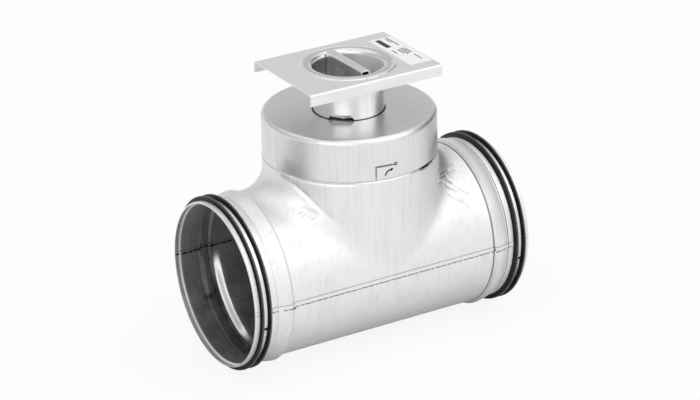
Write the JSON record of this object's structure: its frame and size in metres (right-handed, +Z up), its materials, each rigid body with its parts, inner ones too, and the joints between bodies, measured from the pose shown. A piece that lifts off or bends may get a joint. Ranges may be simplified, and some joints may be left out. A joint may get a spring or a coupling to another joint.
{
  "type": "regulating damper",
  "caption": "Round duct tee with rubber-sealed spigots and a hand-turned damper blade hung from a twist-off lid with a raised console plate.",
  "frame": {"origin": "on the duct axis, inside the outer lip of the left gasket", "axes": "+X along the run of duct from the left spigot to the right spigot, +Z up the branch along the spindle"},
  "size_m": [0.3016, 0.1684, 0.2772],
  "materials": {
    "zinc_sheet": "bright galvanised sheet",
    "bright_steel": "bright zinc plated",
    "gasket_rubber": "black rubber",
    "seal_rubber": "black cellular rubber",
    "bush_plastic": "dark nylon",
    "label_film": "white film"
  },
  "bodies": {
    "tee": {"upper_shell": "zinc_sheet", "lower_shell": "zinc_sheet", "left_gasket": "gasket_rubber", "right_gasket": "gasket_rubber", "left_gasket_band": "bright_steel", "right_gasket_band": "bright_steel", "bayonet_lugs": "bright_steel"},
    "lid": {"lid": "zinc_sheet", "lid_seal": "seal_rubber", "neck_tube": "zinc_sheet", "bearing_cup": "zinc_sheet", "spindle_bush": "bush_plastic", "console_plate": "zinc_sheet", "label": "label_film"},
    "blade": {"handle": "zinc_sheet", "handle_rivet": "bright_steel", "spindle": "bright_steel", "thrust_washer": "bush_plastic", "spring_washer": "bright_steel", "retaining_ring": "bright_steel", "blade": "zinc_sheet", "blade_rivets": "bright_steel"}
  },
  "joints": [
    {"name": "lid_turn", "type": "hinge", "parent": "tee", "child": "lid", "pos_m": [0.1443, 0, 0.12], "axis": [0, 0, 1], "range_deg": [0, 13.9]},
    {"name": "blade_turn", "type": "hinge", "parent": "lid", "child": "blade", "pos_m": [0.1443, 0, 0.12], "axis": [0, 0, 1], "range_deg": [0, 90]}
  ]
}
